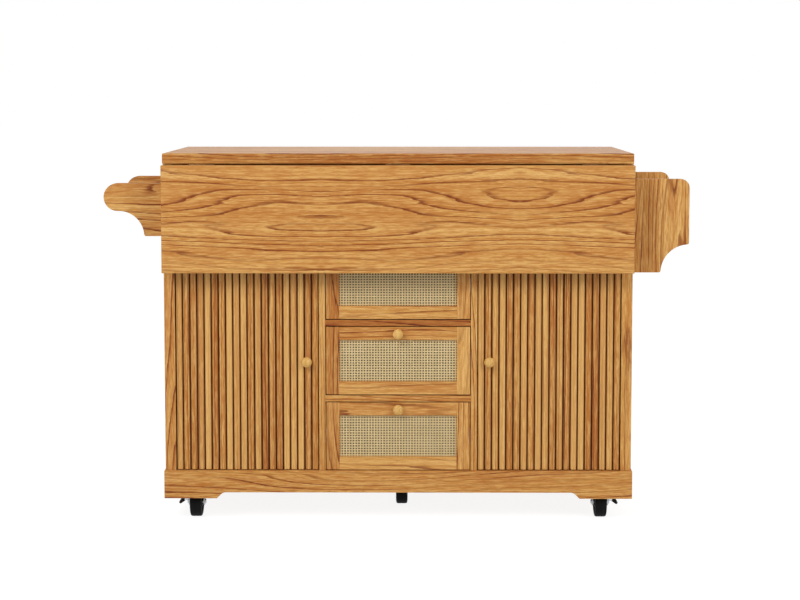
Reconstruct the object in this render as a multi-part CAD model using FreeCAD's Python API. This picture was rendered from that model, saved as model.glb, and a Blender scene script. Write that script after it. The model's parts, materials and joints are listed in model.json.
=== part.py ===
# Rolling kitchen cart: an oak cabinet on five casters, with a drop leaf hanging on its front,
# two slatted doors, three cane-fronted drawers, a towel rail on the left and a rack on the right.
# Millimetres. +Z is up and the front faces -Y. While modelling, x runs from the middle of the
# cabinet, y from the plane of the door fronts and z from the floor. Each piece is moved at the end,
# so that the origin is the middle of the footprint on the floor.
import FreeCAD
import Part
import math
import os

Vector = FreeCAD.Vector
SAME_POINT = 1e-6
BAR_SIDES = 8
BORE_SIDES = 8

# Cabinet
HEIGHT = 920.0
BODY_WIDTH = 1160.0
BODY_DEPTH = 404.0
SIDE_THICK = 16.0
PARTITION_THICK = 16.0
BACK_THICK = 12.0
BOTTOM_THICK = 18.0
FRAME_THICK = 18.0
STILE_WIDTH = 27.0
DRAWER_OPENING = 361.0
SHELF_THICK = 15.0
SHELF_LEVEL = 380.0
SHELF_SETBACK = 50.0
SUPPORT_REACH = 9.0
SUPPORT_WIDTH = 12.0
SUPPORT_HEIGHT = 10.0
SUPPORT_INSET = 34.0

# Tabletop and drop leaf
TOP_INSET = 3.0
TOP_THICK = 25.0
TOP_FRONT = 29.4
TOP_BACK = 28.0
TOP_ROUND = 3.0
LEAF_DROP = 263.4
LEAF_GAP = 1.2
HINGE_OFFSET = 3.0
HINGE_WIDTH = 60.0
HINGE_FLAP = 24.0
HINGE_PLATE = 1.6
HINGE_INSET = 97.0
HINGE_KNUCKLE = 5.2
HINGE_PIN = 2.8
KNUCKLE_GAP = 0.4
PIN_CLEARANCE = 0.05

# Folding stays under the leaf
STAY_INSET = 80.0
STAY_EDGE = 63.4
STAY_STANDOFF = 8.0
STAY_WIDTH = 14.0
STAY_THICK = 3.0
STAY_GAP = 1.0
STAY_PIN = 6.0
STAY_PLATE_WIDTH = 30.0
STAY_PLATE_HEIGHT = 60.0

# Plinth
PLINTH_HEIGHT = 70.0
PLINTH_THICK = 16.0
PLINTH_FRONT_PROUD = 6.0
PLINTH_SIDE_PROUD = 3.0
FOOT_LENGTH = 131.0
ARCH_RISE = 15.0
ARCH_CHAMFER = 10.0
ARCH_SLOPE = 45.0

# Drawers
DRAWER_COUNT = 3
RAIL_HEIGHT = 16.0
FRONT_GAP = 2.0
MEMBER_WIDTH = 32.5
DRAWER_FRAME_THICK = 12.0
CANE_RECESS = 5.0
CANE_THICK = 4.0
BOX_BACK_GAP = 40.0
BOX_HEADROOM = 24.3
BOX_LIFT = 15.0
BOX_WALL = 12.0
BOX_BOTTOM = 6.0
BOX_BOTTOM_RAISE = 4.0
RUNNER_SPACE = 13.0
RUNNER_HEIGHT = 34.4
CHANNEL_WALL = 1.5
CHANNEL_LIP = 6.5
SLIDE_CLEARANCE = 0.3

# Doors
DOOR_SIDE_GAP = 2.5
LEAF_CLEARANCE = 3.0
DOOR_RAIL = 52.9
DOOR_BACKING = 12.0
SLAT_COUNT = 20
SLAT_GAP = 3.76
SLAT_THICK = 8.0
SLAT_BEVEL = 2.0
PIVOT_INSET = 28.0
PIVOT_DEPTH = 4.0
PIVOT_DIAMETER = 5.0
PIVOT_LENGTH = 14.0
FLANGE_WIDTH = 11.0
FLANGE_THICK = 1.5

# Knobs
KNOB_DIAMETER = 26.0
KNOB_REACH = 22.0
KNOB_STEM = 12.0
KNOB_NECK = 9.0
DRAWER_KNOB_DROP = 16.5
DOOR_KNOB_LEVEL = 402.0
DOOR_KNOB_INSET = 29.5

# Towel rail on the left side
BRACKET_INSET = 25.0
COVE_TIP = 5.0
TOWEL_REACH = 151.0
TOWEL_TOP_DROP = 76.5
TOWEL_HEIGHT = 131.5
TOWEL_ARM = 69.0
TOWEL_NECK = 51.0
TOWEL_THICK = 18.0
TOWEL_BAR = 24.0
TOWEL_BAR_OUT = 72.0

# Rack on the right side
RACK_REACH = 142.0
RACK_TOP_DROP = 65.5
RACK_HEIGHT = 232.5
RACK_COVE = 70.0
RACK_CORNER = 22.0
RACK_THICK = 18.0
RACK_SHELF_RAISE = 12.0
RACK_SHELF_THICK = 12.0
RACK_BOARD_THICK = 12.0
RACK_BOARD_HEIGHT = 45.0
RACK_BOARD_DROP = 30.0
RACK_BOARD_INSET = 12.0
GUARD_BAR = 14.0
GUARD_BAR_OUT = 100.0
GUARD_BAR_RAISE = 96.0
KNIFE_SLOTS = 5
KNIFE_SLOT = 5.0
KNIFE_BAR_WIDTH = 18.0
KNIFE_BAR_HEIGHT = 18.0

# Casters
CASTER_HEIGHT = 110.0
CASTER_SIDE_INSET = 71.0
CASTER_FRONT_INSET = 70.0
CASTER_BACK_INSET = 73.0
MIDDLE_CASTER_OFFSET = 8.0
CASTER_TRAIL = 20.0
CASTER_PLATE = 62.0
CASTER_PLATE_THICK = 3.0
RACE_WIDTH = 44.0
RACE_HEIGHT = 6.0
KING_PIN = 10.0
KING_PIN_END = 3.0
FORK_LENGTH = 44.0
FORK_TOP = 4.0
FORK_CHEEK = 2.5
FORK_BOSS = 18.0
SWIVEL_CLEARANCE = 0.3
WHEEL_DIAMETER = 75.0
WHEEL_WIDTH = 30.0
WHEEL_SIDE_GAP = 3.0
AXLE = 8.0
PEDAL_LEVEL = 48.0
PEDAL_PIN = 4.0
PEDAL_PIN_OUT = 4.6
PEDAL_KNUCKLE = 7.6
PEDAL_WIDTH = 25.0
PEDAL_REACH = 15.0
PEDAL_FALL = 10.5
PEDAL_THICK = 7.0
EAR_THICK = 3.0
EAR_GAP = 0.5
EAR_HEIGHT = 10.0
EAR_LENGTH = 8.5

# Levels and places that follow from the sizes above
body_half = BODY_WIDTH / 2
top_half = body_half - TOP_INSET
floor_top = CASTER_HEIGHT + BOTTOM_THICK
top_under = HEIGHT - TOP_THICK
plinth_under = floor_top - PLINTH_HEIGHT
back_face = BODY_DEPTH - BACK_THICK
opening_half = DRAWER_OPENING / 2
door_inner = opening_half + PARTITION_THICK
door_outer = body_half - STILE_WIDTH
side_inner = body_half - SIDE_THICK

hinge_y = -TOP_FRONT - LEAF_GAP / 2
hinge_z = top_under - HINGE_OFFSET
hinge_x = top_half - HINGE_INSET
leaf_inner = hinge_y - HINGE_OFFSET
leaf_outer = leaf_inner - TOP_THICK
leaf_top = hinge_z - LEAF_GAP / 2
leaf_under = leaf_top - LEAF_DROP

door_under = floor_top + FRONT_GAP
door_top = leaf_under - LEAF_CLEARANCE
door_rail_under = door_top + FRONT_GAP
header_under = door_rail_under + DOOR_RAIL
pivot_x = door_outer - DOOR_SIDE_GAP - PIVOT_INSET
pivot_y = SLAT_THICK + PIVOT_DEPTH

drawer_space = (header_under - floor_top + RAIL_HEIGHT) / DRAWER_COUNT
drawer_height = drawer_space - RAIL_HEIGHT - 2 * FRONT_GAP
drawer_bottoms = [floor_top + FRONT_GAP + n * drawer_space for n in range(DRAWER_COUNT)]
box_half = opening_half - RUNNER_SPACE
box_back = back_face - BOX_BACK_GAP
box_height = drawer_height - BOX_LIFT - BOX_HEADROOM
runner_half = RUNNER_HEIGHT / 2

stay_wall_y = -STAY_STANDOFF
stay_leaf_y = leaf_inner + STAY_STANDOFF
stay_reach = LEAF_DROP - STAY_EDGE
stay_z = hinge_z - stay_reach

bracket_front = BRACKET_INSET
bracket_back = BODY_DEPTH - BRACKET_INSET

wheel_radius = WHEEL_DIAMETER / 2
cheek_inner = WHEEL_WIDTH / 2 + WHEEL_SIDE_GAP
cheek_outer = cheek_inner + FORK_CHEEK
race_under = CASTER_HEIGHT - CASTER_PLATE_THICK - RACE_HEIGHT
fork_top = race_under - SWIVEL_CLEARANCE
fork_under = fork_top - FORK_TOP


def block(x, y, z):
    """Block between a low and a high limit on each axis."""
    return Part.makeBox(x[1] - x[0], y[1] - y[0], z[1] - z[0], Vector(x[0], y[0], z[0]))


def rod(start, end, diameter):
    """Round bar between two points."""
    axis = end.sub(start)
    return Part.makeCylinder(diameter / 2, axis.Length, start, axis)


def prism(start, end, width, sides):
    """Straight bar with flat sides, its width measured across them."""
    axis = end.sub(start)
    side = axis.cross(Vector(0, 0, 1) if abs(axis.z) < axis.Length / 2 else Vector(1, 0, 0)).normalize()
    corner = side.multiply(width / 2 / math.cos(math.pi / sides))
    turn = FreeCAD.Rotation(axis, 360 / sides)
    points = []
    for _ in range(sides):
        points.append(start.add(corner))
        corner = turn.multVec(corner)
    return face(points).extrude(axis)


def bore(start, end, pin):
    """Cutter for a many-sided bore that clears a round pin."""
    return prism(start, end, pin + 2 * PIN_CLEARANCE, BORE_SIDES)


def face(points):
    """Flat face. A Vector is a straight run to that point, a pair (mid, end) is an arc."""
    edges = []
    here = points[0]
    for step in points[1:] + points[:1]:
        if isinstance(step, tuple):
            edges.append(Part.Arc(here, step[0], step[1]).toShape())
            here = step[1]
        elif not here.isEqual(step, SAME_POINT):
            edges.append(Part.LineSegment(here, step).toShape())
            here = step
    return Part.Face(Part.Wire(edges))


def arc(centre, radius, angles, plane):
    """Middle and end points of an arc between two angles in degrees, for use in face()."""
    middle = sum(angles) / 2
    return tuple(
        plane(
            centre[0] + radius * math.cos(math.radians(angle)),
            centre[1] + radius * math.sin(math.radians(angle)),
        )
        for angle in (middle, angles[1])
    )


def on_front(y):
    """Points of a profile in the x-z plane at depth y."""
    return lambda x, z: Vector(x, y, z)


def on_side(x):
    """Points of a profile in the y-z plane at x."""
    return lambda y, z: Vector(x, y, z)


def on_plan(z):
    """Points of a profile in the x-y plane at height z."""
    return lambda x, y: Vector(x, y, z)


def mirrored(shape):
    """The same piece on the other side of the middle plane."""
    return shape.mirror(Vector(0, 0, 0), Vector(1, 0, 0))


def pair(shape):
    """A piece on the right and its mirror image on the left."""
    return [mirrored(shape), shape]


def eased(solid, radius, wanted):
    """Round the edges whose middle point passes the test."""
    edges = [edge for edge in solid.Edges if wanted(edge.CenterOfMass)]
    return solid.makeFillet(radius, edges)


def eased_at(solid, radius, points):
    """Round the edges whose middle is one of the points."""
    return eased(solid, radius, lambda middle: any(middle.isEqual(point, SAME_POINT) for point in points))


def knob(x, z):
    """Turned knob on a front face: a neck and a broad round head."""
    neck = prism(Vector(x, 0, z), Vector(x, -KNOB_NECK, z), KNOB_STEM, BAR_SIDES)
    head = rod(Vector(x, -KNOB_NECK, z), Vector(x, -KNOB_REACH, z), KNOB_DIAMETER)
    return neck.fuse(head)


def tabletop():
    """Solid board with eased upper edges."""
    board = block((-top_half, top_half), (-TOP_FRONT, BODY_DEPTH + TOP_BACK), (top_under, HEIGHT))
    return eased(board, TOP_ROUND, lambda middle: middle.z > HEIGHT - TOP_ROUND / 2)


def drop_leaf():
    """Leaf hanging from the front edge, with eased edges on the face that becomes the top."""
    board = block((-top_half, top_half), (leaf_outer, leaf_inner), (leaf_under, leaf_top))
    return eased(board, TOP_ROUND, lambda middle: middle.y < leaf_outer + TOP_ROUND / 2)


def side_panel():
    """Right side panel, behind the face frame's stile."""
    return block((side_inner, body_half), (FRAME_THICK, BODY_DEPTH), (floor_top, top_under))


def partition():
    """Right partition, notched at the top for the header board."""
    at = on_side(opening_half)
    outline = face([
        at(0, floor_top),
        at(back_face, floor_top),
        at(back_face, top_under),
        at(FRAME_THICK, top_under),
        at(FRAME_THICK, header_under),
        at(0, header_under),
    ])
    return outline.extrude(Vector(PARTITION_THICK, 0, 0))


def face_frame():
    """Two stiles and the rails between the drawers."""
    stile = block((door_outer, body_half), (0, FRAME_THICK), (floor_top, top_under))
    rails = []
    for bottom in drawer_bottoms[1:]:
        rail_top = bottom - FRONT_GAP
        rails.append(block(
            (-opening_half, opening_half), (0, FRAME_THICK), (rail_top - RAIL_HEIGHT, rail_top)))
    return pair(stile) + rails


def front_header():
    """Board behind the hanging leaf, with a lower rail over each door."""
    apron = block((-door_outer, door_outer), (0, FRAME_THICK), (header_under, top_under))
    rail = block((door_inner, door_outer), (0, FRAME_THICK), (door_rail_under, header_under))
    return [apron] + pair(rail)


def bottom_panel():
    """Floor of the cabinet, inside the plinth frame."""
    half = body_half + PLINTH_SIDE_PROUD - PLINTH_THICK
    front = PLINTH_THICK - PLINTH_FRONT_PROUD
    back = BODY_DEPTH + PLINTH_SIDE_PROUD - PLINTH_THICK
    return block((-half, half), (front, back), (CASTER_HEIGHT, floor_top))


def back_panel():
    """Back board between the side panels."""
    return block((-side_inner, side_inner), (back_face, BODY_DEPTH), (floor_top, top_under))


def plinth_front():
    """Front board of the plinth, cut away between two feet."""
    at = on_front(-PLINTH_FRONT_PROUD)
    half = body_half + PLINTH_SIDE_PROUD
    foot_end = half - FOOT_LENGTH
    chamfer_end = foot_end - ARCH_CHAMFER
    slope = math.radians(ARCH_SLOPE)
    radius = (ARCH_RISE - ARCH_CHAMFER) / (1 - math.cos(slope))
    arch_end = chamfer_end - radius * math.sin(slope)
    arch_z = plinth_under + ARCH_RISE
    centre_z = arch_z - radius
    right = arc((arch_end, centre_z), radius, (90 - ARCH_SLOPE, 90), at)
    left = arc((-arch_end, centre_z), radius, (90, 90 + ARCH_SLOPE), at)
    outline = face([
        at(-half, floor_top),
        at(-half, plinth_under),
        at(-foot_end, plinth_under),
        at(-chamfer_end, plinth_under + ARCH_CHAMFER),
        (left[0], at(-arch_end, arch_z)),
        at(arch_end, arch_z),
        (right[0], at(chamfer_end, plinth_under + ARCH_CHAMFER)),
        at(foot_end, plinth_under),
        at(half, plinth_under),
        at(half, floor_top),
    ])
    return outline.extrude(Vector(0, PLINTH_THICK, 0))


def plinth_back():
    """Plain back board of the plinth."""
    half = body_half + PLINTH_SIDE_PROUD
    back = BODY_DEPTH + PLINTH_SIDE_PROUD
    return block((-half, half), (back - PLINTH_THICK, back), (plinth_under, floor_top))


def plinth_sides():
    """Side boards of the plinth, between the front and the back board."""
    outer = body_half + PLINTH_SIDE_PROUD
    front = PLINTH_THICK - PLINTH_FRONT_PROUD
    back = BODY_DEPTH + PLINTH_SIDE_PROUD - PLINTH_THICK
    return pair(block((outer - PLINTH_THICK, outer), (front, back), (plinth_under, floor_top)))


def cabinet_shelves():
    """One shelf behind each door."""
    return pair(block(
        (door_inner, side_inner), (SHELF_SETBACK, back_face), (SHELF_LEVEL, SHELF_LEVEL + SHELF_THICK)))


def shelf_supports():
    """Four small blocks under each shelf."""
    supports = []
    for y in (SHELF_SETBACK + SUPPORT_INSET, back_face - SUPPORT_INSET - SUPPORT_WIDTH):
        for x in ((door_inner, door_inner + SUPPORT_REACH), (side_inner - SUPPORT_REACH, side_inner)):
            supports += pair(block(x, (y, y + SUPPORT_WIDTH), (SHELF_LEVEL - SUPPORT_HEIGHT, SHELF_LEVEL)))
    return supports


def drawer_channels():
    """C-shaped channels on the partitions, one pair for each drawer."""
    outer = opening_half
    lip = outer - CHANNEL_LIP
    slot_half = runner_half + SLIDE_CLEARANCE
    channel_half = slot_half + CHANNEL_WALL
    depth = (DRAWER_FRAME_THICK + BOX_WALL, back_face)
    channels = []
    for bottom in drawer_bottoms:
        middle = bottom + BOX_LIFT + box_height / 2
        whole = block((lip, outer), depth, (middle - channel_half, middle + channel_half))
        hollow = block((lip, outer - CHANNEL_WALL), depth, (middle - slot_half, middle + slot_half))
        channels += pair(whole.cut(hollow))
    return channels


def drawer_front(bottom):
    """Frame of two stiles and two rails round the cane."""
    half = opening_half - FRONT_GAP
    inner = half - MEMBER_WIDTH
    top = bottom + drawer_height
    depth = (0, DRAWER_FRAME_THICK)
    stiles = pair(block((inner, half), depth, (bottom, top)))
    lower = block((-inner, inner), depth, (bottom, bottom + MEMBER_WIDTH))
    upper = block((-inner, inner), depth, (top - MEMBER_WIDTH, top))
    return stiles + [lower, upper]


def cane_panel(bottom):
    """Cane-faced panel set back in the frame."""
    inner = opening_half - FRONT_GAP - MEMBER_WIDTH
    return block(
        (-inner, inner),
        (CANE_RECESS, CANE_RECESS + CANE_THICK),
        (bottom + MEMBER_WIDTH, bottom + drawer_height - MEMBER_WIDTH),
    )


def drawer_box(bottom):
    """Box of five boards behind the front, with a runner bar on each side."""
    inner = box_half - BOX_WALL
    low = bottom + BOX_LIFT
    height = (low, low + box_height)
    front = DRAWER_FRAME_THICK
    inside = (front + BOX_WALL, box_back - BOX_WALL)
    floor = low + BOX_BOTTOM_RAISE
    middle = low + box_height / 2
    bar_outer = opening_half - CHANNEL_WALL - SLIDE_CLEARANCE
    front_board = block((-box_half, box_half), (front, front + BOX_WALL), height)
    back_board = block((-inner, inner), (inside[1], box_back), height)
    bottom_board = block((-inner, inner), inside, (floor, floor + BOX_BOTTOM))
    side = block((inner, box_half), (inside[0], box_back), height)
    bar = block((box_half, bar_outer), (inside[0], box_back), (middle - runner_half, middle + runner_half))
    return [front_board, back_board, bottom_board] + pair(side) + pair(bar)


def door_panel():
    """Backing of the right door, bored at both ends for its pivot pins."""
    board = block(
        (door_inner + DOOR_SIDE_GAP, door_outer - DOOR_SIDE_GAP),
        (SLAT_THICK, SLAT_THICK + DOOR_BACKING),
        (door_under, door_top),
    )
    for end, depth in ((door_under, PIVOT_LENGTH), (door_top, -PIVOT_LENGTH)):
        mouth = Vector(pivot_x, pivot_y, end)
        board = board.cut(bore(mouth, mouth.add(Vector(0, 0, depth)), PIVOT_DIAMETER))
    return board


def door_slats():
    """Upright slats with bevelled front edges, evenly spaced over the right door."""
    at = on_plan(door_under)
    pitch = (door_outer - door_inner - 2 * DOOR_SIDE_GAP + SLAT_GAP) / SLAT_COUNT
    slats = []
    for n in range(SLAT_COUNT):
        left = door_inner + DOOR_SIDE_GAP + n * pitch
        right = left + pitch - SLAT_GAP
        outline = face([
            at(left, SLAT_THICK),
            at(left, SLAT_BEVEL),
            at(left + SLAT_BEVEL, 0),
            at(right - SLAT_BEVEL, 0),
            at(right, SLAT_BEVEL),
            at(right, SLAT_THICK),
        ])
        slats.append(outline.extrude(Vector(0, 0, door_top - door_under)))
    return slats


def door_pivot_pins():
    """Flanged pins above and below each door, near its outer edge."""
    pins = []
    for seat, up in ((floor_top, 1), (door_rail_under, -1)):
        start = Vector(pivot_x, pivot_y, seat)
        half = FLANGE_WIDTH / 2
        flange = block(
            (pivot_x - half, pivot_x + half),
            (pivot_y - half, pivot_y + half),
            tuple(sorted((seat, seat + up * FLANGE_THICK))),
        )
        pin = rod(start, start.add(Vector(0, 0, up * PIVOT_LENGTH)), PIVOT_DIAMETER)
        pins += pair(flange.fuse(pin).removeSplitter())
    return pins


def hinge_half(x, span, flap, web):
    """Half of a butt hinge: a flap, one knuckle over a span of x, and the web that joins them."""
    ends = [Vector(x + limit, hinge_y, hinge_z) for limit in span]
    knuckle = prism(ends[0], ends[1], HINGE_KNUCKLE, BAR_SIDES)
    plate = block((x - HINGE_WIDTH / 2, x + HINGE_WIDTH / 2), flap[0], flap[1])
    joint = block((x + span[0], x + span[1]), web[0], web[1])
    return plate.fuse([knuckle, joint])


hinge_near = HINGE_OFFSET - HINGE_PLATE
hinge_clear = HINGE_KNUCKLE / 2 + KNUCKLE_GAP
hinge_places = (-hinge_x, 0, hinge_x)


def leaf_hinge_plates():
    """Hinge halves under the tabletop, each with its knuckle and the pin."""
    half = HINGE_WIDTH / 2
    under = (hinge_z + hinge_near, top_under)
    flap = ((hinge_y + hinge_clear, hinge_y + HINGE_FLAP), under)
    web = ((hinge_y, hinge_y + hinge_clear), under)
    plates = []
    for x in hinge_places:
        fixed = hinge_half(x, (-half, 0), flap, web)
        pin = rod(Vector(x - half, hinge_y, hinge_z), Vector(x + half, hinge_y, hinge_z), HINGE_PIN)
        plates.append(fixed.fuse(pin).removeSplitter())
    return plates


def stay_ear(ear_x, pin_end, y, wall_y):
    """Plate on a board with an upright ear, and a pivot pin from the ear through a link."""
    half = STAY_WIDTH / 2
    away = 1 if ear_x[0] > pin_end else -1
    nose = y + half if y > wall_y else y - half
    foot = wall_y + HINGE_PLATE if y > wall_y else wall_y - HINGE_PLATE
    near = ear_x[0] if away > 0 else ear_x[1]
    plate = block(
        tuple(sorted((near, near + away * STAY_PLATE_WIDTH))),
        tuple(sorted((wall_y, foot))),
        (stay_z - STAY_PLATE_HEIGHT / 2, stay_z + STAY_PLATE_HEIGHT / 2),
    )
    ear = block(ear_x, tuple(sorted((wall_y, nose))), (stay_z - half, stay_z + half))
    pin = rod(Vector(near, y, stay_z), Vector(pin_end, y, stay_z), STAY_PIN)
    return plate.fuse([ear, pin]).removeSplitter()


stay_x = hinge_x - STAY_INSET
lower_stay_x = (stay_x, stay_x + STAY_THICK)
upper_stay_x = (lower_stay_x[1] + STAY_GAP, lower_stay_x[1] + STAY_GAP + STAY_THICK)


def stay_wall_plates():
    """Lower pivots of the folding stays, on the header board."""
    inner = lower_stay_x[0] - STAY_GAP
    return pair(stay_ear((inner - STAY_THICK, inner), lower_stay_x[1], stay_wall_y, 0))


def leaf_fittings():
    """Hinge halves on the leaf's inner face, and the upper pivots of the folding stays."""
    half = HINGE_WIDTH / 2
    inside = (leaf_inner, hinge_y - hinge_near)
    flap = (inside, (hinge_z - HINGE_FLAP, hinge_z - hinge_clear))
    web = (inside, (hinge_z - hinge_clear, hinge_z))
    fittings = []
    for x in hinge_places:
        moving = hinge_half(x, (KNUCKLE_GAP, half), flap, web)
        hole = bore(Vector(x, hinge_y, hinge_z), Vector(x + half, hinge_y, hinge_z), HINGE_PIN)
        fittings.append(moving.cut(hole).removeSplitter())
    outer = upper_stay_x[1] + STAY_GAP
    ears = pair(stay_ear((outer, outer + STAY_THICK), upper_stay_x[0], stay_leaf_y, leaf_inner))
    return fittings + ears


def stay_length():
    """Length of each link, so that both lie in line when the leaf is level."""
    raised_y = hinge_y - stay_reach
    raised_z = hinge_z - (stay_leaf_y - hinge_y)
    return math.hypot(raised_y - stay_wall_y, raised_z - stay_z) / 2


def stay_knee():
    """Where the two folded links meet, above their pivots."""
    half_gap = (stay_wall_y - stay_leaf_y) / 2
    return (stay_wall_y + stay_leaf_y) / 2, stay_z + math.sqrt(stay_length() ** 2 - half_gap ** 2)


def stay_link(x, pivot):
    """Flat steel link from a pivot to the knee, with bevelled ends and a bore at the pivot."""
    knee = stay_knee()
    length = stay_length()
    along = ((knee[0] - pivot[0]) / length, (knee[1] - pivot[1]) / length)
    half = STAY_WIDTH / 2
    at = on_side(x[0])

    def place(run, across):
        return at(
            pivot[0] + along[0] * run - along[1] * across,
            pivot[1] + along[1] * run + along[0] * across,
        )

    outline = face([
        place(-half, -half / 2),
        place(-half / 2, -half),
        place(length + half / 2, -half),
        place(length + half, -half / 2),
        place(length + half, half / 2),
        place(length + half / 2, half),
        place(-half / 2, half),
        place(-half, half / 2),
    ])
    link = outline.extrude(Vector(x[1] - x[0], 0, 0))
    return link.cut(bore(at(*pivot), on_side(x[1])(*pivot), STAY_PIN))


def towel_bracket(front):
    """Left bracket: a round-ended arm that runs down to a neck through a cove with a rounded tip."""
    at = on_front(front)
    side = -body_half
    top = HEIGHT - TOWEL_TOP_DROP
    under = top - TOWEL_HEIGHT
    end_radius = TOWEL_ARM / 2
    end_x = side - TOWEL_REACH + end_radius
    end_z = top - end_radius
    cove = TOWEL_HEIGHT - TOWEL_ARM
    cove_x = side - TOWEL_NECK - cove
    outline = face([
        at(side, top),
        at(end_x, top),
        arc((end_x, end_z), end_radius, (90, 270), at),
        at(cove_x, under + cove),
        arc((cove_x, under), cove, (90, 0), at),
        at(side, under),
    ])
    bracket = outline.extrude(Vector(0, TOWEL_THICK, 0))
    tip = Vector(side - TOWEL_NECK, front + TOWEL_THICK / 2, under)
    return eased_at(bracket, COVE_TIP, [tip])


def towel_brackets():
    """Front and back bracket."""
    return [towel_bracket(bracket_front), towel_bracket(bracket_back - TOWEL_THICK)]


def towel_bar():
    """Round bar between the two brackets."""
    x = -body_half - TOWEL_BAR_OUT
    z = HEIGHT - TOWEL_TOP_DROP - TOWEL_ARM / 2
    first = bracket_front + TOWEL_THICK
    last = bracket_back - TOWEL_THICK
    return rod(Vector(x, first, z), Vector(x, last, z), TOWEL_BAR)


rack_top = HEIGHT - RACK_TOP_DROP
rack_under = rack_top - RACK_HEIGHT
rack_inside = (bracket_front + RACK_THICK, bracket_back - RACK_THICK)
rack_board_x = body_half + RACK_REACH - RACK_BOARD_INSET - RACK_BOARD_THICK
rack_board_top = rack_top - RACK_BOARD_DROP


def rack_end_panels():
    """End panels with a rounded upper corner and a cove with rounded tips at the lower outer corner."""
    side = body_half
    outer = side + RACK_REACH
    panels = []
    for front in (bracket_front, rack_inside[1]):
        at = on_front(front)
        outline = face([
            at(side, rack_under),
            at(outer - RACK_COVE, rack_under),
            arc((outer, rack_under), RACK_COVE, (180, 90), at),
            at(outer, rack_top - RACK_CORNER),
            arc((outer - RACK_CORNER, rack_top - RACK_CORNER), RACK_CORNER, (0, 90), at),
            at(side, rack_top),
        ])
        panel = outline.extrude(Vector(0, RACK_THICK, 0))
        middle_y = front + RACK_THICK / 2
        panels.append(eased_at(panel, COVE_TIP, [
            Vector(outer - RACK_COVE, middle_y, rack_under),
            Vector(outer, middle_y, rack_under + RACK_COVE),
        ]))
    return panels


def rack_shelf():
    """Narrow shelf low between the end panels."""
    low = rack_under + RACK_SHELF_RAISE
    return block(
        (body_half, body_half + RACK_REACH - RACK_COVE), rack_inside, (low, low + RACK_SHELF_THICK))


def rack_rails():
    """Outer board near the top and a round guard bar above the shelf."""
    board = block(
        (rack_board_x, rack_board_x + RACK_BOARD_THICK),
        rack_inside,
        (rack_board_top - RACK_BOARD_HEIGHT, rack_board_top),
    )
    x = body_half + GUARD_BAR_OUT
    z = rack_under + GUARD_BAR_RAISE
    return [board, rod(Vector(x, rack_inside[0], z), Vector(x, rack_inside[1], z), GUARD_BAR)]


def knife_bars():
    """Bars from the cabinet's side to the outer board, with slots for blades between them."""
    pitch = KNIFE_BAR_WIDTH + KNIFE_SLOT
    bars = []
    for n in range(KNIFE_SLOTS + 1):
        front = rack_inside[0] + KNIFE_SLOT + n * pitch
        bars.append(block(
            (body_half, rack_board_x),
            (front, front + KNIFE_BAR_WIDTH),
            (rack_board_top - KNIFE_BAR_HEIGHT, rack_board_top),
        ))
    return bars


def caster_plate(x, y):
    """Plate under the cabinet's floor with its race and king pin."""
    half = CASTER_PLATE / 2
    plate = block(
        (x - half, x + half), (y - half, y + half), (CASTER_HEIGHT - CASTER_PLATE_THICK, CASTER_HEIGHT))
    race = prism(Vector(x, y, race_under), Vector(x, y, CASTER_HEIGHT), RACE_WIDTH, BAR_SIDES)
    pin = rod(Vector(x, y, fork_under - KING_PIN_END), Vector(x, y, CASTER_HEIGHT), KING_PIN)
    return plate.fuse([race, pin]).removeSplitter()


def fork_cheek(y, wheel_y, x):
    """Side plate of a fork: wide at the top, narrowing to a bevelled end round the axle."""
    at = on_side(x)
    boss = FORK_BOSS / 2
    return face([
        at(y + FORK_LENGTH / 2, fork_top),
        at(y - FORK_LENGTH / 2, fork_top),
        at(wheel_y - boss, wheel_radius),
        at(wheel_y - boss / 2, wheel_radius - boss),
        at(wheel_y + boss / 2, wheel_radius - boss),
        at(wheel_y + boss, wheel_radius),
    ]).extrude(Vector(FORK_CHEEK, 0, 0))


def caster_fork(x, y, wheel_y, pedal_side):
    """Stamped fork on the king pin, with ears for a pedal on one side or on neither, and its axle."""
    half = FORK_LENGTH / 2
    top = block((x - cheek_outer, x + cheek_outer), (y - half, y + half), (fork_under, fork_top))
    fork = top.fuse([
        fork_cheek(y, wheel_y, x - cheek_outer),
        fork_cheek(y, wheel_y, x + cheek_inner),
    ])
    fork = fork.cut(bore(Vector(x, y, fork_under), Vector(x, y, fork_top), KING_PIN))
    if pedal_side:
        fork = fork.fuse(pedal_ears(x, wheel_y, pedal_side))
    axle = rod(
        Vector(x - cheek_inner, wheel_y, wheel_radius),
        Vector(x + cheek_inner, wheel_y, wheel_radius),
        AXLE,
    )
    return [fork.removeSplitter(), axle]


def pedal_ears(x, wheel_y, side):
    """Two ears on a fork's outer cheek and the pin between them."""
    near = x + side * cheek_outer
    far = near + side * EAR_LENGTH
    inner = PEDAL_WIDTH / 2 + EAR_GAP
    outer = inner + EAR_THICK
    height = (PEDAL_LEVEL - EAR_HEIGHT / 2, PEDAL_LEVEL + EAR_HEIGHT / 2)
    across = (min(near, far), max(near, far))
    ears = [
        block(across, (wheel_y - outer, wheel_y - inner), height),
        block(across, (wheel_y + inner, wheel_y + outer), height),
    ]
    pin_x = near + side * PEDAL_PIN_OUT
    pin = rod(
        Vector(pin_x, wheel_y - outer, PEDAL_LEVEL), Vector(pin_x, wheel_y + outer, PEDAL_LEVEL), PEDAL_PIN)
    return ears + [pin]


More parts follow.
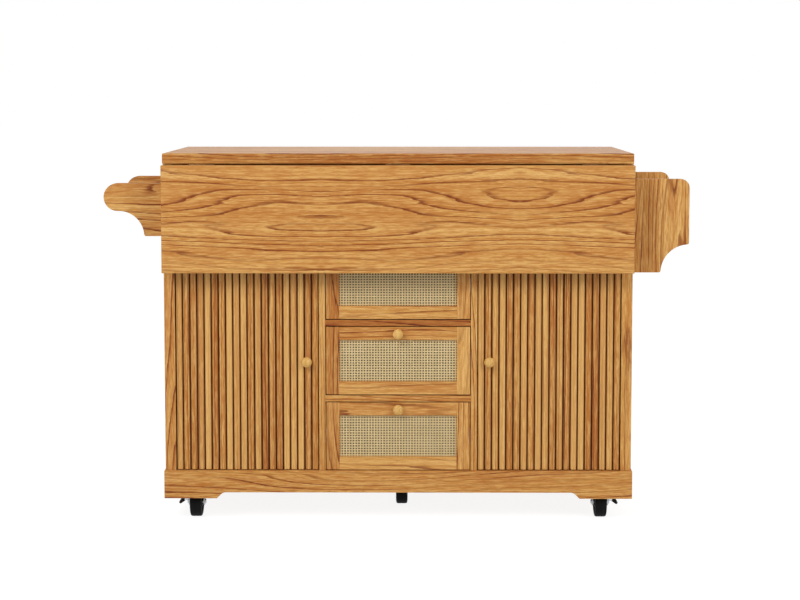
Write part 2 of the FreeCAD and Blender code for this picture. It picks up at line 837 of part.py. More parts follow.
def brake_pedal(x, wheel_y, side):
    """Pedal on its pin: a round knuckle and a paddle that slopes down to a rounded tip."""
    at = on_front(wheel_y - PEDAL_WIDTH / 2)
    pin_x = x + side * (cheek_outer + PEDAL_PIN_OUT)
    knuckle = PEDAL_KNUCKLE / 2
    tip = (PEDAL_REACH, -PEDAL_FALL)
    tip_radius = PEDAL_THICK / 2
    slope = math.atan2(tip[1], tip[0])
    up = (-math.sin(slope), math.cos(slope))

    def place(across, high):
        return at(pin_x + side * across, PEDAL_LEVEL + high)

    def off(point, distance):
        return place(point[0] + up[0] * distance, point[1] + up[1] * distance)

    far = place(tip[0] + tip_radius * math.cos(slope), tip[1] + tip_radius * math.sin(slope))
    paddle = face([
        off((0, 0), tip_radius),
        off(tip, tip_radius),
        (far, off(tip, -tip_radius)),
        off((0, 0), -tip_radius),
    ]).extrude(Vector(0, PEDAL_WIDTH, 0))
    ends = (place(0, 0), place(0, 0).add(Vector(0, PEDAL_WIDTH, 0)))
    pedal = paddle.fuse(rod(ends[0], ends[1], 2 * knuckle))
    return pedal.cut(bore(ends[0], ends[1], PEDAL_PIN)).removeSplitter()


def caster_wheel(x, wheel_y):
    """Wheel that runs on the axle."""
    ends = (
        Vector(x - WHEEL_WIDTH / 2, wheel_y, wheel_radius),
        Vector(x + WHEEL_WIDTH / 2, wheel_y, wheel_radius),
    )
    return rod(ends[0], ends[1], WHEEL_DIAMETER).cut(bore(ends[0], ends[1], AXLE))


# Name, swivel axis, side on which the wheel trails (-1 is the front), and side of the pedal
caster_x = body_half - CASTER_SIDE_INSET
casters = (
    ("front_left", -caster_x, CASTER_FRONT_INSET, -1, -1),
    ("front_right", caster_x, CASTER_FRONT_INSET, -1, 1),
    ("back_left", -caster_x, BODY_DEPTH - CASTER_BACK_INSET, 1, 0),
    ("back_right", caster_x, BODY_DEPTH - CASTER_BACK_INSET, 1, 0),
    ("middle", MIDDLE_CASTER_OFFSET, BODY_DEPTH / 2, -1, 0),
)


def build():
    """Every node of the cart, as a list of solids under its name."""
    nodes = {
        "tabletop": [tabletop()],
        "left_side_panel": [mirrored(side_panel())],
        "right_side_panel": [side_panel()],
        "partitions": pair(partition()),
        "face_frame": face_frame(),
        "front_header": front_header(),
        "bottom_panel": [bottom_panel()],
        "back_panel": [back_panel()],
        "plinth_front": [plinth_front()],
        "plinth_back": [plinth_back()],
        "plinth_sides": plinth_sides(),
        "cabinet_shelves": cabinet_shelves(),
        "shelf_supports": shelf_supports(),
        "drawer_channels": drawer_channels(),
        "door_pivot_pins": door_pivot_pins(),
        "leaf_hinge_plates": leaf_hinge_plates(),
        "stay_wall_plates": stay_wall_plates(),
        "caster_plates": [caster_plate(x, y) for _, x, y, _, _ in casters],
        "towel_brackets": towel_brackets(),
        "towel_bar": [towel_bar()],
        "rack_end_panels": rack_end_panels(),
        "rack_shelf": [rack_shelf()],
        "rack_rails": rack_rails(),
        "knife_bars": knife_bars(),
        "drop_leaf": [drop_leaf()],
        "leaf_fittings": leaf_fittings(),
    }
    lower = stay_link(lower_stay_x, (stay_wall_y, stay_z))
    upper = stay_link(upper_stay_x, (stay_leaf_y, stay_z))
    door_knob_x = door_inner + DOOR_KNOB_INSET
    for side, turned in (("left", mirrored), ("right", lambda shape: shape)):
        nodes[side + "_lower_stay"] = [turned(lower)]
        nodes[side + "_upper_stay"] = [turned(upper)]
        nodes[side + "_door_panel"] = [turned(door_panel())]
        nodes[side + "_door_slats"] = [turned(slat) for slat in door_slats()]
        nodes[side + "_door_knob"] = [turned(knob(door_knob_x, DOOR_KNOB_LEVEL))]
    for place, bottom in zip(("bottom", "middle", "top"), drawer_bottoms):
        nodes[place + "_drawer_front"] = drawer_front(bottom)
        nodes[place + "_drawer_cane"] = [cane_panel(bottom)]
        nodes[place + "_drawer_box"] = drawer_box(bottom)
        nodes[place + "_drawer_knob"] = [knob(0, bottom + drawer_height - DRAWER_KNOB_DROP)]
    for name, x, y, trail, pedal_side in casters:
        wheel_y = y + trail * CASTER_TRAIL
        nodes[name + "_caster_fork"] = caster_fork(x, y, wheel_y, pedal_side)
        nodes[name + "_caster_wheel"] = [caster_wheel(x, wheel_y)]
        if pedal_side:
            nodes[name + "_brake_pedal"] = [brake_pedal(x, wheel_y, pedal_side)]
    return nodes


# The footprint reaches from the towel brackets to the rack, and from the leaf to the tabletop's back edge
to_origin = Vector(
    (TOWEL_REACH - RACK_REACH) / 2,
    -(leaf_outer + BODY_DEPTH + TOP_BACK) / 2,
    0,
)

if __name__ == "__main__":
    os.makedirs("parts", exist_ok=True)
    for node, solids in build().items():
        shape = solids[0] if len(solids) == 1 else Part.makeCompound(solids)
        shape.translate(to_origin)
        shape.exportStep("parts/" + node + ".step")
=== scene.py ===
import json
import math
import random

import bmesh
import bpy
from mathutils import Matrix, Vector


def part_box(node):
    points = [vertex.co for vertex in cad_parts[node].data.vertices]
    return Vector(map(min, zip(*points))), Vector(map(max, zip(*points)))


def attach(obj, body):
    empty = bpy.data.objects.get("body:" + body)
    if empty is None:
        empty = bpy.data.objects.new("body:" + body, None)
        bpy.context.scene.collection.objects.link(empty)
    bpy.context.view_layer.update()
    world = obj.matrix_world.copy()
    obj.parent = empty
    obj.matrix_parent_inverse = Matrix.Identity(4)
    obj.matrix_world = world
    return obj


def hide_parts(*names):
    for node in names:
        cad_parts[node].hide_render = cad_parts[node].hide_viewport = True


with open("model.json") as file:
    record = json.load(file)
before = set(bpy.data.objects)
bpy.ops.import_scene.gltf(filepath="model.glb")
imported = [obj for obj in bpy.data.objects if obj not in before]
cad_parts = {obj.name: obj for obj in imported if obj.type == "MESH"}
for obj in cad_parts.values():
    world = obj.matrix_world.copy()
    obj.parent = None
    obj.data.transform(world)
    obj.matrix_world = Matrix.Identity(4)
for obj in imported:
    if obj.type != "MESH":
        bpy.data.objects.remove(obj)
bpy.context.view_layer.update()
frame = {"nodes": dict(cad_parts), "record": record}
scene = bpy.context.scene
scene.view_settings.view_transform = "Standard"
body_of = {node: body for body, nodes in frame["record"]["behaviour"]["bodies"].items() for node in nodes}

# Lengths are in metres, angles in degrees, and turned profiles in millimetres or in shares of a radius
MILLIMETRE = 0.001
AXES = {"x": 0, "y": 1, "z": 2}
DOWN = (0, 0, -1)
FORWARD = (0, -1, 0)
BACKWARD = (0, 1, 0)
BOTH_WAYS = (-1, 1)
DRAWERS = ("bottom", "middle", "top")
CASTERS = ("front_left", "front_right", "back_left", "back_right", "middle")


def nodes_ending(*endings):
    """Names of the CAD nodes that end in one of some words."""
    return [name for name in frame["nodes"] if name.endswith(endings)]


def srgb(red, green, blue):
    """Linear colour of an sRGB triple in 0 to 255."""
    parts = [c / 255 for c in (red, green, blue)]
    return [c / 12.92 if c <= 0.04045 else ((c + 0.055) / 1.055) ** 2.4 for c in parts] + [1.0]


def grey(level):
    """Linear grey."""
    return (level, level, level, 1.0)


# Materials. The Mix node's sockets for colours share their names with others, so they go by number
MIX_COLOURS = (6, 7)
MIX_RESULT = 2


class Shader:
    """Short calls for the nodes of a material or a world. A value may be a number or an output socket."""

    def __init__(self, owner, surface="Principled BSDF"):
        owner.use_nodes = True
        self.owner = owner
        self.tree = owner.node_tree
        self.surface = self.tree.nodes[surface]

    def put(self, socket, value):
        """Links an output to a socket, or sets the socket to a number."""
        if isinstance(value, bpy.types.NodeSocket):
            self.tree.links.new(value, socket)
        else:
            socket.default_value = value

    def set(self, **values):
        """Puts values on the surface's inputs."""
        for name, value in values.items():
            self.put(self.surface.inputs[name.replace("_", " ")], value)

    def node(self, kind, inputs=None, **settings):
        """A new node with its settings, and with inputs that are named or numbered."""
        made = self.tree.nodes.new(kind)
        for name, value in settings.items():
            setattr(made, name, value)
        for slot, value in (inputs or {}).items():
            self.put(made.inputs[slot], value)
        return made

    def attribute(self, name, output):
        """One of the attributes that the meshes carry."""
        return self.node("ShaderNodeAttribute", attribute_name=name).outputs[output]

    def place(self):
        """Place on the object in metres."""
        return self.node("ShaderNodeTexCoord").outputs["Object"]

    def maths(self, operation, a, b):
        """One sum on two values."""
        return self.node("ShaderNodeMath", {0: a, 1: b}, operation=operation).outputs[0]

    def line(self, value, slope, base):
        """The value times a slope, plus a base."""
        return self.maths("ADD", self.maths("MULTIPLY", value, slope), base)

    def part(self, vector, axis):
        """One coordinate of a vector."""
        return self.node("ShaderNodeSeparateXYZ", {0: vector}).outputs[axis]

    def noise(self, vector, waves, detail=2.0, roughness=0.5):
        """Noise with so many waves per metre along each axis of a vector."""
        stretched = self.node("ShaderNodeVectorMath", {0: vector, 1: waves}, operation="MULTIPLY").outputs[0]
        inputs = {"Vector": stretched, "Scale": 1.0, "Detail": detail, "Roughness": roughness}
        return self.node("ShaderNodeTexNoise", inputs).outputs["Fac"]

    def ease(self, value, start, end, low=0.0, high=1.0):
        """Goes smoothly from low to high while the value goes from start to end."""
        inputs = {"Value": value, "From Min": start, "From Max": end, "To Min": low, "To Max": high}
        return self.node("ShaderNodeMapRange", inputs, interpolation_type="SMOOTHSTEP").outputs["Result"]

    def pulse(self, value, start, full, fall):
        """Rises from start to full and falls to nothing between fall and 1."""
        return self.maths("MULTIPLY", self.ease(value, start, full), self.ease(value, fall, 1.0, 1.0, 0.0))

    def mix(self, share, first, second, blend="MIX"):
        """Two colours, with a share of the second."""
        inputs = {"Factor": share, MIX_COLOURS[0]: first, MIX_COLOURS[1]: second}
        return self.node("ShaderNodeMix", inputs, data_type="RGBA", blend_type=blend).outputs[MIX_RESULT]

    def layered(self, colour, layers):
        """A colour with others laid over it, each by its share."""
        for share, tint in layers:
            colour = self.mix(share, colour, tint)
        return colour

    def bump(self, height, distance, strength):
        """Fine relief on the surface."""
        inputs = {"Height": height, "Distance": distance, "Strength": strength}
        self.set(Normal=self.node("ShaderNodeBump", inputs).outputs["Normal"])

    def seen(self):
        """1 for what the camera sees, straight or by reflection, and 0 for light that falls on surfaces."""
        rays = self.node("ShaderNodeLightPath").outputs
        indirect = self.maths("MAXIMUM", rays["Is Glossy Ray"], rays["Is Transmission Ray"])
        return self.maths("MAXIMUM", rays["Is Camera Ray"], indirect)


# Growth rings: how many lie through a board for each one across it, shares of their bend, and finer lines
RING_DEPTH = 2.0
RING_WAVE = 0.16
RING_JITTER = 0.03
FINE_RINGS = 2.7
# Tones of the darkest and lightest boards, the tint of the first and the share of light wood in the second
DARK_TONE = 2.0
LIGHT_TONE = -1.4
DARK_TINT = (0.66, 0.46, 0.34, 1.0)
LIGHT_SHARE = 0.55


def wood(name, colours, lines=60.0, bend=8.0, contrast=1.0, roughness=0.5, hairs=0.5, dashes=0.5,
         streaks=0.0):
    """Sawn timber in four colours from light to dark. The grain attribute holds (along, across, through) in
    metres and tone a shade per board. lines is the number of rings per metre, and bend is how many of them
    the figure wanders. hairs is the strength of the lines between rings, and dashes and streaks are those of
    short and long streaks along the grain."""
    light, middle, warm, dark = colours
    s = Shader(bpy.data.materials.new(name))
    grain = s.attribute("grain", "Vector")
    tone = s.attribute("tone", "Fac")

    def drawn_out(along, across, detail=2.0, roughness=0.5):
        """Noise with so many waves per metre along and across the grain."""
        return s.noise(grain, (along, across, across), detail, roughness)

    sweep = drawn_out(along=1.35, across=9.0, detail=1.0)
    wave = drawn_out(along=2.6, across=34.0)
    dash = drawn_out(along=26.0, across=330.0, roughness=0.6)
    fibre = drawn_out(along=36.0, across=520.0, roughness=0.6)
    streak = drawn_out(along=1.7, across=125.0, detail=4.0, roughness=0.7)
    patch = drawn_out(along=1.2, across=14.0)
    pores = drawn_out(along=60.0, across=1500.0, detail=1.0)
    fade = s.ease(drawn_out(along=1.9, across=30.0), 0.40, 0.62)

    ring = s.maths("MULTIPLY", s.part(grain, 1), lines)
    through = s.part(grain, 2)
    for source, share in ((through, RING_DEPTH * lines), (sweep, bend), (wave, RING_WAVE * bend),
                          (dash, RING_JITTER * bend)):
        ring = s.maths("ADD", ring, s.maths("MULTIPLY", source, share))
    late = s.maths("FRACT", ring, 0.0)
    fine = s.maths("FRACT", s.maths("MULTIPLY", ring, FINE_RINGS), 0.0)
    edge = s.pulse(late, 0.74, 0.93, 0.95)
    band = s.pulse(late, 0.10, 0.93, 0.95)
    hair = s.pulse(fine, 0.50, 0.92, 0.94)

    colour = s.layered(light, (
        (s.ease(streak, 0.37, 0.59), middle),
        (s.ease(streak, 0.54, 0.70, high=streaks * contrast), warm),
        (s.ease(patch, 0.44, 0.68, high=0.50 * contrast), warm),
        (s.maths("MULTIPLY", band, s.line(fade, 0.50 * contrast, 0.06 * contrast)), warm),
        (s.maths("MULTIPLY", hair, hairs * contrast), warm),
        (s.ease(dash, 0.50, 0.62, high=dashes * contrast), warm),
        (s.ease(dash, 0.48, 0.36, high=0.40 * contrast), light),
        (s.maths("MULTIPLY", edge, s.line(fade, 0.66 * contrast, 0.32 * contrast)), dark),
        (s.ease(fibre, 0.50, 0.70, high=0.45 * contrast), warm),
        (s.ease(pores, 0.62, 0.72, high=0.40 * contrast), dark),
    ))
    colour = s.mix(s.ease(tone, 0.0, DARK_TONE), colour, DARK_TINT, "MULTIPLY")
    colour = s.mix(s.ease(tone, 0.0, LIGHT_TONE, high=LIGHT_SHARE), colour, light)
    s.set(Base_Color=colour, Roughness=s.ease(fibre, 0.3, 0.7, roughness - 0.05, roughness + 0.09),
          Specular_IOR_Level=0.24)
    relief = s.maths("SUBTRACT", fibre, s.ease(pores, 0.62, 0.74, high=0.8))
    s.bump(relief, distance=0.00006, strength=0.6)
    return s.owner


OAK = (srgb(234, 188, 114), srgb(212, 158, 83), srgb(180, 107, 40), srgb(122, 54, 14))
TOP_OAK = (srgb(226, 180, 106), srgb(204, 149, 76), srgb(170, 97, 34), srgb(112, 48, 12))
INNER_OAK = (srgb(216, 174, 116), srgb(204, 156, 96), srgb(186, 130, 70), srgb(144, 90, 44))
# Dark oak that paints the shade in the gaps between slats and around the doors and drawers
PAINTED_SHADE_OAK = (srgb(112, 62, 24), srgb(96, 50, 17), srgb(80, 40, 12), srgb(48, 22, 6))
PALE_WOOD = (srgb(242, 204, 130), srgb(226, 180, 98), srgb(202, 148, 68), srgb(166, 110, 44))
oak = wood("oak", OAK)
oak_figured = wood("oak_figured", OAK, lines=46.0, bend=9.0, contrast=1.1, hairs=0.3, dashes=0.38)
oak_straight = wood("oak_straight", OAK, lines=100.0, bend=2.6, contrast=1.2, streaks=0.7)
oak_top = wood(
    "oak_top", TOP_OAK, lines=70.0, bend=9.0, contrast=1.3, roughness=0.40, hairs=0.35, dashes=0.38)
oak_inside = wood("oak_inside", INNER_OAK, lines=40.0, bend=6.0, contrast=0.7, roughness=0.52)
# Painted shade for the faces inside gaps, which real light leaves too bright
oak_painted_shade = wood("oak_painted_shade", PAINTED_SHADE_OAK, contrast=0.8, roughness=0.55)
pale_wood = wood("pale_wood", PALE_WOOD, lines=170.0, bend=4.0, contrast=0.8, roughness=0.26)


def make_metal(name, bright, dull, roughness):
    """Plated metal with faint brushing."""
    s = Shader(bpy.data.materials.new(name))
    place = s.place()
    brush = s.noise(place, (60.0, 900.0, 900.0))
    cloud = s.noise(place, (38.0, 38.0, 38.0))
    s.set(Base_Color=s.mix(s.ease(cloud, 0.35, 0.7), bright, dull), Metallic=1.0,
          Roughness=s.ease(brush, 0.3, 0.7, roughness - 0.07, roughness + 0.07))
    s.bump(brush, distance=0.00002, strength=0.4)
    return s.owner


def make_black(name, colour, worn, roughness, pebble):
    """Black rubber or moulded plastic, with so many fine pebbles per metre."""
    s = Shader(bpy.data.materials.new(name))
    place = s.place()
    speck = s.noise(place, (pebble, pebble, pebble), roughness=0.6)
    dust = s.noise(place, (70.0, 70.0, 70.0), detail=3.0, roughness=0.6)
    s.set(Base_Color=s.mix(s.ease(dust, 0.45, 0.8, high=0.5), colour, worn),
          Roughness=s.ease(speck, 0.3, 0.7, roughness - 0.06, roughness + 0.08), Specular_IOR_Level=0.14)
    s.bump(speck, distance=0.00008, strength=0.5)
    return s.owner


def make_cane():
    """Split cane strands: fibre lines along each strand, painted shade that darkens each strand towards its
    sides where strands meet, and a tone of its own per strand.
    """
    s = Shader(bpy.data.materials.new("cane"))
    grain = s.attribute("grain", "Vector")
    tone = s.attribute("tone", "Fac")
    crown = s.attribute("crown", "Fac")
    fibre = s.noise(grain, (30.0, 1400.0, 1400.0), roughness=0.6)
    stain = s.noise(grain, (14.0, 60.0, 60.0))
    colour = s.layered(srgb(233, 209, 160), (
        (s.ease(fibre, 0.35, 0.7), srgb(215, 188, 136)),
        (s.ease(stain, 0.5, 0.8, high=0.4), srgb(180, 156, 106)),
        (s.ease(tone, 0.0, 1.0, high=0.3), srgb(182, 160, 112)),
        # Painted shade: the crown share darkens each strand towards its sides, where the strands meet
        (s.ease(crown, 0.7, 0.0, high=0.6), srgb(112, 92, 50)),
    ))
    s.set(Base_Color=colour, Roughness=s.ease(fibre, 0.3, 0.7, 0.42, 0.58), Specular_IOR_Level=0.3)
    s.bump(fibre, distance=0.00005, strength=0.5)
    return s.owner


def make_shaded_lining():
    """Cloth-like lining behind the cane, dark as painted shade seen through the weave."""
    s = Shader(bpy.data.materials.new("cane_backing"))
    place = s.place()
    weft = s.noise(place, (1600.0, 1600.0, 260.0), detail=1.0)
    warp = s.noise(place, (260.0, 1600.0, 1600.0), detail=1.0)
    mesh = s.maths("MULTIPLY", weft, warp)
    # Painted shade: these dark browns stand for the shade seen through the holes of the weave
    colour = s.mix(s.ease(mesh, 0.15, 0.38), srgb(64, 52, 26), srgb(88, 74, 40))
    s.set(Base_Color=colour, Roughness=s.ease(mesh, 0.1, 0.4, 0.75, 0.9))
    s.bump(mesh, distance=0.0001, strength=0.5)
    return s.owner


steel = make_metal("zinc_steel", srgb(205, 206, 208), srgb(172, 174, 178), roughness=0.31)
bronze = make_metal("dark_bronze", srgb(112, 78, 48), srgb(84, 58, 36), roughness=0.42)
rubber = make_black("black_rubber", srgb(7, 7, 8), srgb(18, 18, 17), roughness=0.72, pebble=900.0)
plastic = make_black("black_plastic", srgb(11, 11, 12), srgb(25, 25, 25), roughness=0.5, pebble=1500.0)
cane = make_cane()
shaded_lining = make_shaded_lining()

# Meshes
SAME_POINT_DIGITS = 6
FLAT_ANGLE = 0.6
SHARP_ANGLE = 35
KNOB_SHARP_ANGLE = 50
STRAND_SHARP_ANGLE = 40
BEVEL_ANGLE = 32
BEVEL_STEPS = 2
LOG_REACH = 20
EASED_WOOD = 0.0008
EASED_METAL = 0.0003
EASED_LINK = 0.0005
EASED_PLASTIC = 0.0008


def piece(name, mesh, material, body, nodes=()):
    """One piece of the object, riding on a body and standing for the nodes it names."""
    made = bpy.data.objects.new(name, mesh)
    scene.collection.objects.link(made)
    mesh.materials.append(material)
    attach(made, body)
    if nodes:
        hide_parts(*nodes)
    return made


def write(name, points, faces, grain=None, tone=None):
    """Smooth mesh from points and faces, with the two attributes that the wood reads."""
    mesh = bpy.data.meshes.new(name)
    mesh.from_pydata([tuple(p) for p in points], [], faces)
    mesh.update()
    if grain is not None:
        mesh.attributes.new("grain", "FLOAT_VECTOR", "POINT").data.foreach_set(
            "vector", [c for vector in grain for c in vector])
        mesh.attributes.new("tone", "FLOAT", "POINT").data.foreach_set("value", tone)
    for polygon in mesh.polygons:
        polygon.use_smooth = True
    return mesh


def add(points, faces, form):
    """Appends a form's points and faces to the lists of a larger mesh."""
    start = len(points)
    points += form[0]
    faces += [[start + v for v in side] for side in form[1]]


def emptied(bm):
    """Points and faces of a working mesh, which is freed."""
    bm.verts.index_update()
    found = [v.co.copy() for v in bm.verts], [[v.index for v in f.verts] for f in bm.faces]
    bm.free()
    return found


def welded(mesh):
    """Points of a mesh, with those at one place joined, and its triangles."""
    index, points, triangles = {}, [], []
    for polygon in mesh.polygons:
        corner = []
        for v in polygon.vertices:
            co = mesh.vertices[v].co
            key = tuple(round(c, SAME_POINT_DIGITS) for c in co)
            if key not in index:
                index[key] = len(points)
                points.append(co.copy())
            corner.append(index[key])
        triangles.append(corner)
    return points, triangles


def connected(triangles):
    """Triangles in groups that hang together by edges of two triangles."""
    sides = {}
    for t, corner in enumerate(triangles):
        for a, b in zip(corner, corner[1:] + corner[:1]):
            sides.setdefault((min(a, b), max(a, b)), []).append(t)
    group = list(range(len(triangles)))

    def root(t):
        while group[t] != t:
            group[t] = group[group[t]]
            t = group[t]
        return t

    for shared in sides.values():
        if len(shared) == 2:
            group[root(shared[0])] = root(shared[1])
    found = {}
    for t, corner in enumerate(triangles):
        found.setdefault(root(t), []).append(corner)
    return found.values()


def islands(node):
    """Each closed solid of a CAD node as (points, faces), with flat areas joined into one face."""
    points, triangles = welded(frame["nodes"][node].data)
    out = []
    for solid in connected(triangles):
        bm = bmesh.new()
        made = {}
        for corner in solid:
            for v in corner:
                if v not in made:
                    made[v] = bm.verts.new(points[v])
            if len(set(corner)) == 3:
                bm.faces.new([made[v] for v in corner])
        bmesh.ops.dissolve_limit(bm, angle_limit=math.radians(FLAT_ANGLE), verts=bm.verts, edges=bm.edges)
        out.append(emptied(bm))
    return out


def box_of(points):
    """Lowest and highest corner of some points."""
    return [Vector([pick(p[k] for p in points) for k in range(3)]) for pick in (min, max)]


def board_grain(points, along, dice):
    """A board's points along, across and through its grain, at a place of its own in the log."""
    low, high = box_of(points)
    size = high - low
    first = AXES[along] if along else max(range(3), key=lambda k: size[k])
    rest = sorted((k for k in range(3) if k != first), key=lambda k: -size[k])
    shift = [dice.uniform(-LOG_REACH, LOG_REACH) for _ in range(3)]
    turn = [dice.choice(BOTH_WAYS) for _ in range(3)]
    order = (first, *rest)
    return [[turn[n] * (p[k] - low[k]) + shift[n] for n, k in enumerate(order)] for p in points]


def matched(points, faces, folds):
    """A board with its faces divided at two places along X, and how far each point lies along a sheet of
    veneer that is turned over at each of them, so that the figure mirrors itself there."""
    bm = bmesh.new()
    made = [bm.verts.new(p) for p in points]
    for side in faces:
        bm.faces.new([made[v] for v in side])
    for x in folds:
        everything = bm.verts[:] + bm.edges[:] + bm.faces[:]
        bmesh.ops.bisect_plane(bm, geom=everything, plane_co=(x, 0, 0), plane_no=(1, 0, 0))
    divided, sides = emptied(bm)
    sheet = folds[1] - folds[0]
    return divided, sides, [abs((p.x - folds[0] + sheet) % (2 * sheet) - sheet) for p in divided]


def boards(node, material=oak, ease=EASED_WOOD, along=None, tones=0.5, second=None, chosen=None, shade=None,
           folds=None, seed=None):
    """The solids of a CAD node with eased edges and a grain of their own. chosen(middle, normal) picks the
    faces that take the second material, shade(middle, tone) may give a board's tone, folds are the places
    along X where a board's figure is mirrored, and seed picks another place in the log."""
    dice = random.Random(seed or node)
    points, faces, grain, tone = [], [], [], []
    for solid, sides in islands(node):
        if folds:
            solid, sides, runs = matched(solid, sides, folds)
        add(points, faces, (solid, sides))
        own_grain = board_grain(solid, along, dice)
        if folds:
            own_grain = [[run, *rest[1:]] for run, rest in zip(runs, own_grain)]
        grain += own_grain
        own = dice.uniform(-tones, tones)
        if shade:
            own = shade(sum(solid, Vector()) / len(solid), own)
        tone += [own] * len(solid)
    name = node + "_finish"
    made = piece(name, write(name, points, faces, grain, tone), material, body_of[node], [node])
    if second:
        made.data.materials.append(second)
        for polygon in made.data.polygons:
            polygon.material_index = int(chosen(polygon.center, polygon.normal))
    bevel = made.modifiers.new("eased_edges", "BEVEL")
    bevel.width = ease
    bevel.segments = BEVEL_STEPS
    bevel.limit_method = "ANGLE"
    bevel.angle_limit = math.radians(BEVEL_ANGLE)
    bevel.harden_normals = True


def lathe(profile, centre, axis, count, ring=False):
    """Points and faces of a turned form. The profile runs from one end to the other as (distance, radius),
    and a radius may be a function of the angle. A ring's profile closes on itself."""
    turn = Vector((0, 0, 1)).rotation_difference(Vector(axis)).to_matrix()
    points, faces = [], []
    for distance, radius in profile:
        for n in range(count):
            angle = 2 * math.pi * n / count
            reach = radius(angle) if callable(radius) else radius
            spot = Vector((reach * math.cos(angle), reach * math.sin(angle), distance))
            points.append(Vector(centre) + turn @ spot)
    rows = len(profile)
    for row in range(rows if ring else rows - 1):
        above = (row + 1) % rows * count
        for n in range(count):
            m = (n + 1) % count
            faces.append([row * count + n, row * count + m, above + m, above + n])
    if not ring:
        faces.append(list(range(count))[::-1])
        faces.append([(rows - 1) * count + n for n in range(count)])
    return points, faces


def scaled(profile, factor=MILLIMETRE):
    """A profile times a factor."""
    return [(distance * factor, radius * factor) for distance, radius in profile]


def mirrored(half):
    """A whole profile from the half of it that runs outward from the middle."""
    return [(-distance, radius) for distance, radius in half[::-1]] + list(half)


def joined(name, forms, material, body, nodes=()):
    """One piece from several sets of points and faces."""
    points, faces = [], []
    for form in forms:
        add(points, faces, form)
    mesh = write(name, points, faces)
    mesh.set_sharp_from_angle(angle=math.radians(SHARP_ANGLE))
    piece(name, mesh, material, body, nodes)


# Wooden boards, with the tones of single ones and the places that tell them and some faces apart
LEAF_FOLDS = (-0.183, 0.301)
LEAF_TONE = 0.2
QUIET = 0.6
SLAT_SPREAD = 2.6
LIGHTER = -0.3
RAIL_REACH = 0.3
UPPER_RAIL_LEVEL = 0.4
UPPER_RAIL_TONE = 1.9
LEFT_MEMBER_X = -0.12
LEFT_MEMBER_TONE = 0.9
FRAME_INSIDE = 0.56
SIDEWAYS = 0.5
STRAIGHT_ON = 0.9
RUNNER_BAR = 0.0109


def frame_tone(at, own):
    """The upper drawer rail is a dark board, and the others differ little."""
    return UPPER_RAIL_TONE if abs(at.x) < RAIL_REACH and at.z > UPPER_RAIL_LEVEL else own * QUIET


def shaded_in_opening(at, normal):
    """Faces of the frame that look into the openings for doors and drawers, which take the dark wood as
    painted shade in the gaps.
    """
    return abs(normal.y) < SIDEWAYS and abs(at.x) < FRAME_INSIDE


def drawer_tone(at, own):
    """The left member of each drawer's front is a darker board."""
    return LEFT_MEMBER_TONE if at.x < LEFT_MEMBER_X else own * QUIET + LIGHTER


def slat_tone(at, own):
    """The slats differ more than other boards."""
    return own * SLAT_SPREAD + LIGHTER


def shaded_panel_front(at, normal):
    """Faces that look to the front: the door panel's front, seen between the slats, takes the dark wood as
    painted shade in the gaps.
    """
    return normal.y < -STRAIGHT_ON


boards("tabletop", oak_top, along="x", tones=0.1)
for node in ("front_header", "plinth_front", "plinth_back"):
    boards(node, along="x")
boards("drop_leaf", oak_figured, along="x", shade=lambda at, own: LEAF_TONE, folds=LEAF_FOLDS,
       seed="drop_leafn")
boards("plinth_sides", along="y")
for node in ("left_side_panel", "right_side_panel", "partitions", "rack_end_panels"):
    boards(node, along="z")
boards("face_frame", oak_figured, shade=frame_tone, second=oak_painted_shade, chosen=shaded_in_opening)
boards("towel_brackets", oak_figured, along="x")
for node in ("rack_shelf", "rack_rails", "towel_bar"):
    boards(node, along="y")
for node in ("knife_bars", "back_panel"):
    boards(node, along="x")
for node in ("bottom_panel", "cabinet_shelves"):
    boards(node, oak_inside, along="x")
boards("shelf_supports", oak_inside)
for side in ("left", "right"):
    # The door panel's front takes dark wood as painted shade between the slats
    boards(side + "_door_panel", along="z", second=oak_painted_shade, chosen=shaded_panel_front)
    boards(side + "_door_slats", oak_straight, along="z", shade=slat_tone)
for place in DRAWERS:
    boards(place + "_drawer_front", oak_figured, shade=drawer_tone)
    low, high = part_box(place + "_drawer_box")
    boards(place + "_drawer_box", oak_inside, second=steel,
           chosen=lambda at, normal: min(at.x - low.x, high.x - at.x) < RUNNER_BAR)

# Knobs
KNOB_PROFILE = (
    (0.0, 8.4), (1.2, 8.4), (2.0, 7.7), (3.4, 6.5), (5.4, 5.9), (7.4, 6.4), (9.2, 8.2), (10.6, 10.9),
    (11.8, 12.4), (13.2, 13.0), (14.8, 12.9), (16.6, 12.1), (18.4, 10.5), (20.0, 8.1), (21.2, 5.3),
    (21.8, 2.7), (22.0, 0.8),
)
KNOB_TONES = 0.4

for node in nodes_ending("_knob"):
    low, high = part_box(node)
    at = (low + high) / 2
    at.y = high.y
    points, faces = lathe(scaled(KNOB_PROFILE), at, FORWARD, count=48)
    dice = random.Random(node)
    grain = board_grain(points, "z", dice)
    tone = [dice.uniform(-KNOB_TONES, KNOB_TONES)] * len(points)
    mesh = write(node + "_finish", points, faces, grain, tone)
    mesh.set_sharp_from_angle(angle=math.radians(KNOB_SHARP_ANGLE))
    piece(node + "_finish", mesh, pale_wood, body_of[node], [node])

# Woven cane
STRAND_PITCH = (0.0070, 0.0066)
STRAND_WIDTH = 0.0036
STRAND_SECTION = (-0.5, -0.22, 0.22, 0.5)
STRAND_LIFT = 0.0005
STRAND_CROWN = 0.0005
STRAND_SWAY = 0.00015
STRAND_SHIFT = 9
WEAVE_DEPTH = 0.0011
LINING_DEPTH = 0.0026
LINING_THICK = 0.0012
LINING_BOW = 0.0003
LINING_GRID = (24, 10)


